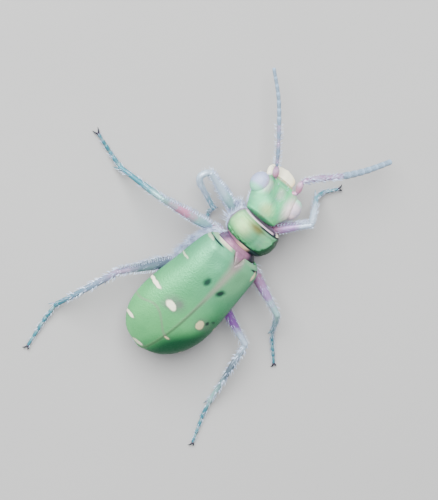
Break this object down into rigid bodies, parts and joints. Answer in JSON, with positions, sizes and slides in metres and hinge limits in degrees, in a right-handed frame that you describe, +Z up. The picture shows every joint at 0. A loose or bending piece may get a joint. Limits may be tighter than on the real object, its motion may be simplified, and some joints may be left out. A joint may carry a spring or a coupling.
{
  "type": "tiger beetle",
  "caption": "Life-size still model of a green tiger beetle standing on its six feet, wing covers closed, one front leg folded and the feelers held forward.",
  "frame": {"origin": "centre of the bounding box at floor level, under the beetle's middle", "axes": "+Z up from the floor; the head looks toward -Y; the beetle's own left side is +X"},
  "size_m": [0.0196, 0.0222, 0.0043],
  "materials": {
    "wing_cover": "green shell with a silky sheen, finely grained, with cream spots",
    "pronotum": "green shell with fine cross wrinkles and a lavender and cream front edge",
    "head": "green shell with fine lengthwise wrinkles",
    "thorax": "coppery metallic shell with white hairs on its sides",
    "abdomen": "blue-green metallic shell in ringed plates",
    "eye": "smooth faceted eye with a pale lavender sheen",
    "ivory": "cream upper lip, jaws and mouth feelers with dark tips",
    "feeler_base": "coppery purple metallic shell",
    "feeler_lash": "matt grey-blue, finely downy",
    "thigh": "coppery purple metallic shell with white hairs",
    "shin": "green to blue metallic shell with pale bristles"
  },
  "bodies": {
    "root": {"abdomen": "abdomen", "antenna_left_lash": "feeler_lash", "antenna_left_scape": "feeler_base", "antenna_left_stem": "feeler_base", "antenna_right_lash": "feeler_lash", "antenna_right_scape": "feeler_base", "antenna_right_stem": "feeler_base", "elytron_left": "wing_cover", "elytron_right": "wing_cover", "eye_left": "eye", "eye_right": "eye", "head": "head", "labial_palp_left": "ivory", "labial_palp_right": "ivory", "labrum": "ivory", "leg_front_left_coxa": "thigh", "leg_front_left_femur": "thigh", "leg_front_left_tarsus": "shin", "leg_front_left_tibia": "shin", "leg_front_right_coxa": "thigh", "leg_front_right_femur": "thigh", "leg_front_right_tarsus": "shin", "leg_front_right_tibia": "shin", "leg_hind_left_coxa": "thigh", "leg_hind_left_femur": "thigh", "leg_hind_left_tarsus": "shin", "leg_hind_left_tibia": "shin", "leg_hind_right_coxa": "thigh", "leg_hind_right_femur": "thigh", "leg_hind_right_tarsus": "shin", "leg_hind_right_tibia": "shin", "leg_middle_left_coxa": "thigh", "leg_middle_left_femur": "thigh", "leg_middle_left_tarsus": "shin", "leg_middle_left_tibia": "shin", "leg_middle_right_coxa": "thigh", "leg_middle_right_femur": "thigh", "leg_middle_right_tarsus": "shin", "leg_middle_right_tibia": "shin", "mandible_left": "ivory", "mandible_right": "ivory", "maxillary_palp_left": "ivory", "maxillary_palp_right": "ivory", "pronotum": "pronotum", "thorax": "thorax"}
  },
  "joints": []
}
